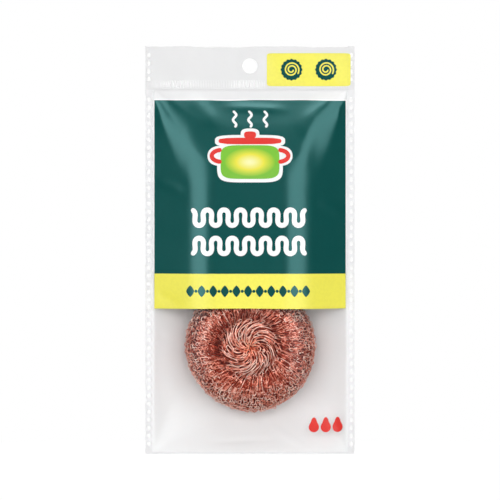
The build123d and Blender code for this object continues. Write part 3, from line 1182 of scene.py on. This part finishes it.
class SCRUBBERS_OT_scrubbers(bpy.types.Operator):
    """Knit both scrubbers"""

    bl_idname = "scrubbers.scrubbers"
    bl_label = "Scrubbers"

    def execute(self, context):
        knit = context.scene.scrubber_knit
        for place, fineness, seed in (("lower", 12, 11), ("upper", 7, 53)):
            low, high = cad_box(f"{place}_outer_knit")
            centre = (low[2] + high[2]) / 2
            wire = copper_wire(f"{place}_copper_wire", centre, knit)
            core = inner_knit(f"{place}_inner_knit", knit)
            self.knit_scrubber(place, centre, fineness, seed, wire, core, knit)
        return {"FINISHED"}

    def knit_scrubber(self, place, centre, fineness, seed, wire, core, knit):
        """Layers of stitches over a core painted dark as shade. The fineness is the points of a rim
        stitch, and the longer drawn-out ones have ten more than twice as many. Each ring has its
        seed."""
        body = f"{place}_scrubber"
        layers = {
            name: [(rim_rows(*row), knit.rim_stitches - fewer, fineness)]
            for name, (*row, fewer) in RIM_ROWS.items()
        }
        for face, back in (("front", False), ("back", True)):
            for zone, rows in (("crown", CROWN_ROWS), ("gather", GATHER_ROWS)):
                layers[f"{face}_{zone}_knit"] = [
                    ([row], int(share * knit.crown_stitches), 2 * fineness + 10)
                    for row, share in drawn_rows(rows, back)
                ]
        replaced = {
            "rim_knit": ["outer_knit"],
            "front_gather_knit": ["front_gather"],
            "back_gather_knit": ["back_gather"],
        }
        for number, (name, rings) in enumerate(layers.items()):
            parts = [
                stitch_rings(
                    rows, count, samples, knit, seed + 20 * number + step,
                    RIM_STRAY if name == "rim_knit" else 0,
                )
                for step, (rows, count, samples) in enumerate(rings)
            ]
            points, faces, tone = join(parts)
            piece = make_piece(f"{place}_{name}", points + (0, 0, centre), faces, tone)
            nodes = [f"{place}_{node}" for node in replaced.get(name, ())]
            dress(piece, wire, body, nodes)
        points, faces = knit_core()
        heart = make_piece(f"{place}_core_knit", points + (0, 0, centre), faces)
        dress(heart, core, body, [f"{place}_inner_roll"])


class SCRUBBERS_OT_stage(bpy.types.Operator):
    """Set the floor, the light and the camera"""

    bl_idname = "scrubbers.stage"
    bl_label = "Stage"

    def execute(self, context):
        studio = context.scene.scrubber_studio
        self.set_floor(studio)
        self.set_world(context)
        self.set_lights(context)
        self.set_camera(context, studio)
        context.scene.view_settings.view_transform = "Standard"
        return {"FINISHED"}

    def set_floor(self, studio):
        """Round pale floor below the hanging pack. To the camera it is mostly plain white."""
        turn = np.linspace(0, 2 * np.pi, FLOOR_TURNS, endpoint=False)
        radius = np.linspace(5.0, FLOOR_RADIUS, FLOOR_RINGS)[:, None]
        height = CAD_BOX[0][2] / MM - FLOOR_DROP
        level = np.full(np.broadcast(radius, turn).shape, height)
        rings = np.stack([radius * np.cos(turn), radius * np.sin(turn), level], -1)
        sheet = quad_grid(FLOOR_RINGS, FLOOR_TURNS, close_columns=True)
        faces = np.concatenate([sheet, disc_cap(0, FLOOR_TURNS)[:, ::-1]])
        floor = make_piece("floor", rings.reshape(-1, 3), faces[:, ::-1])
        material, graph, surface, output = new_material("pale_floor")
        graph.fill(surface, {"Base Color": (*studio.floor_color, 1), "Roughness": 0.8})
        glow = graph.add("Emission", {"Strength": FLOOR_GLOW})
        seen = any_ray(graph, graph.add("LightPath", {}))
        share = graph.add("Math", {0: seen, 1: FLOOR_GLOW_SHARE}, operation="MULTIPLY")
        inputs = {"Fac": share.outputs[0], 1: surface.outputs[0], 2: glow.outputs[0]}
        graph.fill(output, {"Surface": graph.add("MixShader", inputs).outputs[0]})
        floor.data.materials.append(material)

    def set_world(self, context):
        """White to the camera, and as the backdrop that gloss and metal show. The room on the
        camera's side is grey, and so is the light that the world gives."""
        world = bpy.data.worlds.new("studio_world")
        context.scene.world = world
        graph = Graph(world)
        fill = graph.add("Background", {"Color": (1, 1, 1, 1), "Strength": WORLD_FILL})
        coords = graph.add("TexCoord", {}).outputs["Generated"]
        axes = graph.add("SeparateXYZ", {0: coords})
        span = {"From Min": -BACKDROP_EDGE, "From Max": BACKDROP_EDGE, "To Min": ROOM_GREY}
        inputs = {"Value": axes.outputs["Y"], **span}
        backdrop = graph.add("MapRange", inputs, interpolation_type="SMOOTHSTEP")
        path = graph.add("LightPath", {})
        inputs = {0: path.outputs["Is Camera Ray"], 1: backdrop.outputs["Result"]}
        level = graph.add("Math", inputs, operation="MAXIMUM").outputs[0]
        white = graph.add("Background", {"Color": (1, 1, 1, 1), "Strength": level})
        inputs = {"Fac": any_ray(graph, path), 1: fill.outputs[0], 2: white.outputs[0]}
        graph.add("OutputWorld", {"Surface": graph.add("MixShader", inputs).outputs[0]})

    def set_lights(self, context):
        """A soft light above the camera and large dull ones behind it and behind the pack, with
        strips at both sides and above that show only in gloss."""
        target = np.array([0, 0, PACK_MIDDLE])
        for name, offset, size, power, in_diffuse, in_gloss in LAMPS:
            lamp = bpy.data.lights.new(name, "AREA")
            lamp.shape = "RECTANGLE"
            lamp.size, lamp.size_y = size
            lamp.energy = power
            place = bpy.data.objects.new(name, lamp)
            place.visible_diffuse, place.visible_glossy = in_diffuse, in_gloss
            context.scene.collection.objects.link(place)
            aim_at(place, target + np.array(offset), target)

    def set_camera(self, context, studio):
        """Level view straight at the printed front, framed by its width at the pack."""
        lens = bpy.data.cameras.new("camera")
        lens.sensor_width = 36.0
        lens.lens = lens.sensor_width * studio.camera_distance / studio.view_width
        lens.clip_end = 50.0
        camera = bpy.data.objects.new("camera", lens)
        context.scene.collection.objects.link(camera)
        target = np.array([0, 0, PACK_MIDDLE])
        aim_at(camera, target - np.array([0, studio.camera_distance, 0]), target)
        context.scene.camera = camera


class SCRUBBERS_PT_sidebar(bpy.types.Panel):
    """Lists the steps of the scrubber pack"""

    bl_idname = "SCRUBBERS_PT_sidebar"
    bl_label = "Pot Scrubber Pack"
    bl_space_type = "VIEW_3D"
    bl_region_type = "UI"
    bl_category = "Scrubbers"

    def draw(self, context):
        for step in STEPS:
            self.layout.operator(step.bl_idname)
        for settings in ("scrubber_knit", "scrubber_film", "scrubber_print", "scrubber_studio"):
            group = getattr(context.scene, settings)
            box = self.layout.box()
            for name in group.bl_rna.properties.keys():
                if name not in ("rna_type", "name"):
                    box.prop(group, name)


SETTINGS = {
    "scrubber_knit": ScrubberSettings,
    "scrubber_film": FilmSettings,
    "scrubber_print": PrintSettings,
    "scrubber_studio": StudioSettings,
}
STEPS = (
    SCRUBBERS_OT_header,
    SCRUBBERS_OT_pouch,
    SCRUBBERS_OT_prints,
    SCRUBBERS_OT_scrubbers,
    SCRUBBERS_OT_stage,
)


def register():
    for name, settings in SETTINGS.items():
        bpy.utils.register_class(settings)
        setattr(bpy.types.Scene, name, bpy.props.PointerProperty(type=settings))
    for step in STEPS:
        bpy.utils.register_class(step)
    bpy.utils.register_class(SCRUBBERS_PT_sidebar)


def unregister():
    bpy.utils.unregister_class(SCRUBBERS_PT_sidebar)
    for step in reversed(STEPS):
        bpy.utils.unregister_class(step)
    for name, settings in SETTINGS.items():
        delattr(bpy.types.Scene, name)
        bpy.utils.unregister_class(settings)


def main():
    register()
    bpy.ops.scrubbers.header()
    bpy.ops.scrubbers.pouch()
    bpy.ops.scrubbers.prints()
    bpy.ops.scrubbers.scrubbers()
    bpy.ops.scrubbers.stage()


if __name__ == "__main__":
    main()
